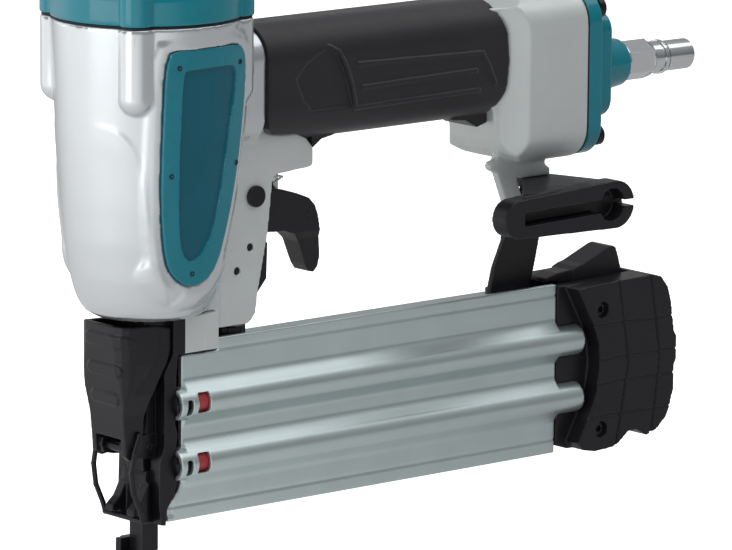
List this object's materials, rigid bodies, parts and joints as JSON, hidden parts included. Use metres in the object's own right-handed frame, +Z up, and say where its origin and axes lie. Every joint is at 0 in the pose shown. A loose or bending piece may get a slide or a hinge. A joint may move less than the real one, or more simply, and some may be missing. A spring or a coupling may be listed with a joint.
{
  "type": "pneumatic brad nailer",
  "caption": "Compressed-air brad nailer: round driver body, gripped handle, rear air inlet, slide-open straight magazine, trigger, contact foot and belt hook.",
  "frame": {"origin": "centre of the nose tip, on the driving axis, at the contact foot's lower face", "axes": "+Z up along the driving axis towards the head cap, +X rearward from the body towards the handle and air inlet, +Y to the side away from the pusher tubes"},
  "size_m": [0.2916, 0.072, 0.2375],
  "materials": {
    "silver_paint": "satin metallic paint",
    "teal_paint": "gloss",
    "teal_plate": "gloss",
    "grip_rubber": "soft matte",
    "black_plastic": "fine grain",
    "blued_steel": "black oxide",
    "bright_steel": "machined",
    "chrome_plate": "polished",
    "cast_metal": "satin cast",
    "anodised": "satin anodised",
    "seal_rubber": "smooth",
    "red_plastic": "satin"
  },
  "bodies": {
    "gun_body": {"housing": "silver_paint", "cap_gasket": "seal_rubber", "head_cap": "teal_paint", "head_bolts": "bright_steel", "deflector_screw": "bright_steel", "badge_left": "teal_plate", "badge_right": "teal_plate", "grip_sleeve": "grip_rubber", "end_cap_gasket": "seal_rubber", "end_cap": "teal_paint", "end_cap_bolts": "blued_steel", "air_plug": "chrome_plate", "hook": "black_plastic", "hook_screw": "bright_steel", "support_arm": "blued_steel", "support_arm_screws": "bright_steel", "trigger_pin": "blued_steel", "trigger_spring": "bright_steel", "roll_pins": "blued_steel", "valve_case": "black_plastic", "valve_spring": "bright_steel", "nose_block": "cast_metal", "nose_bolts": "bright_steel", "driver_guide": "blued_steel", "door_pin": "bright_steel", "latch_lever_pin": "bright_steel", "contact_arm_spring": "bright_steel", "magazine_rail": "anodised", "cylinder": "anodised", "bumper": "seal_rubber", "head_valve_spring": "bright_steel"},
    "deflector": {"exhaust_deflector": "black_plastic"},
    "piston_body": {"piston": "anodised", "piston_o_ring": "seal_rubber", "driver_blade": "bright_steel"},
    "head_valve_body": {"head_valve": "black_plastic"},
    "trigger_body": {"trigger": "black_plastic", "contact_lever_pin": "blued_steel"},
    "contact_lever_body": {"contact_lever": "bright_steel"},
    "valve_stem_body": {"valve_stem": "bright_steel"},
    "contact_body": {"contact_foot": "blued_steel", "contact_arm": "blued_steel", "push_lever": "blued_steel"},
    "adjuster_body": {"depth_adjuster": "black_plastic"},
    "latch_lever_body": {"latch_lever": "black_plastic"},
    "bail_body": {"wire_bail": "blued_steel"},
    "door_body": {"nose_door": "blued_steel"},
    "magazine_body": {"magazine_cover": "anodised", "magazine_block": "black_plastic", "block_screws": "blued_steel", "magazine_latch_pin": "bright_steel", "pusher_springs": "bright_steel"},
    "magazine_latch_body": {"magazine_latch": "black_plastic"},
    "pusher_body": {"pusher": "bright_steel", "pusher_indicators": "red_plastic"}
  },
  "joints": [
    {"name": "exhaust_swivel", "type": "hinge", "parent": "gun_body", "child": "deflector", "pos_m": [0, 0, 0.232], "axis": [0, 0, 1], "continuous": true},
    {"name": "piston_stroke", "type": "slide", "parent": "gun_body", "child": "piston_body", "axis": [0, 0, -1], "range_m": [0, 0.072]},
    {"name": "head_valve_lift", "type": "slide", "parent": "gun_body", "child": "head_valve_body", "axis": [0, 0, 1], "range_m": [0, 0.004], "deforming": ["head_valve_spring"]},
    {"name": "trigger_pull", "type": "hinge", "parent": "gun_body", "child": "trigger_body", "pos_m": [0.0407, 0, 0.1298], "axis": [0, -1, 0], "range_deg": [0, 10], "deforming": ["trigger_spring"]},
    {"name": "contact_lever_tilt", "type": "hinge", "parent": "trigger_body", "child": "contact_lever_body", "pos_m": [0.0684, 0, 0.1205], "axis": [0, 1, 0], "range_deg": [0, 8]},
    {"name": "trigger_valve_lift", "type": "slide", "parent": "gun_body", "child": "valve_stem_body", "axis": [0, 0, 1], "range_m": [0, 0.003], "deforming": ["valve_spring"]},
    {"name": "contact_press", "type": "slide", "parent": "gun_body", "child": "contact_body", "axis": [0, 0, 1], "range_m": [0, 0.006], "deforming": ["contact_arm_spring"]},
    {"name": "adjuster_turn", "type": "hinge", "parent": "contact_body", "child": "adjuster_body", "pos_m": [0.0345, 0, 0.081], "axis": [0, 0, 1], "continuous": true},
    {"name": "latch_flip", "type": "hinge", "parent": "gun_body", "child": "latch_lever_body", "pos_m": [-0.013, 0, 0.0455], "axis": [0, -1, 0], "range_deg": [0, 95]},
    {"name": "bail_swing", "type": "hinge", "parent": "latch_lever_body", "child": "bail_body", "pos_m": [-0.0114, 0, 0.051], "axis": [0, 1, 0], "range_deg": [0, 121]},
    {"name": "door_open", "type": "hinge", "parent": "gun_body", "child": "door_body", "pos_m": [-0.004, 0, 0.0455], "axis": [0, 1, 0], "range_deg": [0, 41]},
    {"name": "magazine_slide", "type": "slide", "parent": "gun_body", "child": "magazine_body", "axis": [1, 0, 0], "range_m": [0, 0.13]},
    {"name": "magazine_latch_press", "type": "hinge", "parent": "magazine_body", "child": "magazine_latch_body", "pos_m": [0.213, 0, 0.079], "axis": [0, 1, 0], "range_deg": [0, 7]},
    {"name": "pusher_slide", "type": "slide", "parent": "magazine_body", "child": "pusher_body", "axis": [1, 0, 0], "range_m": [0, 0.12], "deforming": ["pusher_springs"]}
  ],
  "couplings": [
    {"joint": "trigger_valve_lift", "follows": "trigger_pull", "m_per_rad": 0.0163},
    {"joint": "bail_swing", "follows": "latch_flip", "ratio": 1.2632},
    {"joint": "door_open", "follows": "latch_flip", "ratio": 0.4211}
  ]
}
